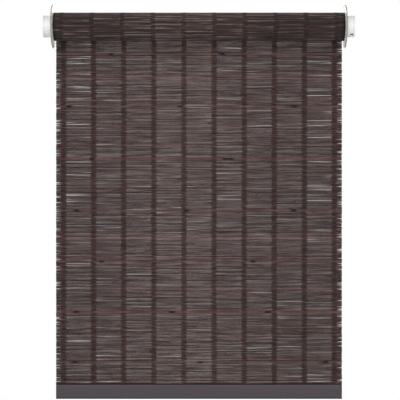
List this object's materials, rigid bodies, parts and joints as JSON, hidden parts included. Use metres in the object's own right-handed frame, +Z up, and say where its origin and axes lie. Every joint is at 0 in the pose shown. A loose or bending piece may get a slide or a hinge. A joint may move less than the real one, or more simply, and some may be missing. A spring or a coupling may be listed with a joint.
{
  "type": "reed roller blind",
  "caption": "Woven reed mat that winds on a chain-driven roller between clear side discs, with white hubs, keyed bracket sockets and a flat bottom rail",
  "frame": {"origin": "Centre of the idle end's bracket socket, at the outer face of the left hub, on the roller's axis", "axes": "+X along the roller from the idle end to the drive end, +Y towards the window, +Z up"},
  "size_m": [0.647, 0.09, 0.8236],
  "materials": {
    "reed": "satin",
    "warp": "matte",
    "tube_metal": "satin",
    "clear_plastic": "gloss",
    "white_plastic": "satin",
    "grey_plastic": "satin",
    "dark_plastic": "satin",
    "spring_steel": "satin",
    "rail_metal": "satin"
  },
  "bodies": {
    "ends": {"idle_housing": "white_plastic", "drive_housing": "white_plastic", "idle_axle": "white_plastic", "drive_spindle": "white_plastic", "hanging_mat": "reed", "warp_bands": "warp", "idle_clip": "spring_steel", "drive_clip": "spring_steel"},
    "roller": {"roller_tube": "tube_metal", "fixing_strip": "grey_plastic", "wound_mat": "reed", "idle_disc": "clear_plastic", "drive_disc": "clear_plastic", "idle_plug": "grey_plastic", "drive_plug": "grey_plastic", "chain_wheel": "grey_plastic", "wrap_spring": "spring_steel"},
    "bar": {"bottom_rail": "rail_metal", "clamp_strip": "grey_plastic", "rail_cap_left": "dark_plastic", "rail_cap_right": "dark_plastic"}
  },
  "joints": [
    {"name": "roller_spin", "type": "hinge", "parent": "ends", "child": "roller", "pos_m": [0.3235, 0, 0], "axis": [1, 0, 0], "range_deg": [0, 1208]},
    {"name": "bar_lift", "type": "slide", "parent": "ends", "child": "bar", "axis": [0, 0, 1], "range_m": [0, 0.7], "deforming": ["hanging_mat", "warp_bands"]}
  ],
  "couplings": [
    {"joint": "bar_lift", "follows": "roller_spin", "m_per_rad": 0.0332}
  ]
}
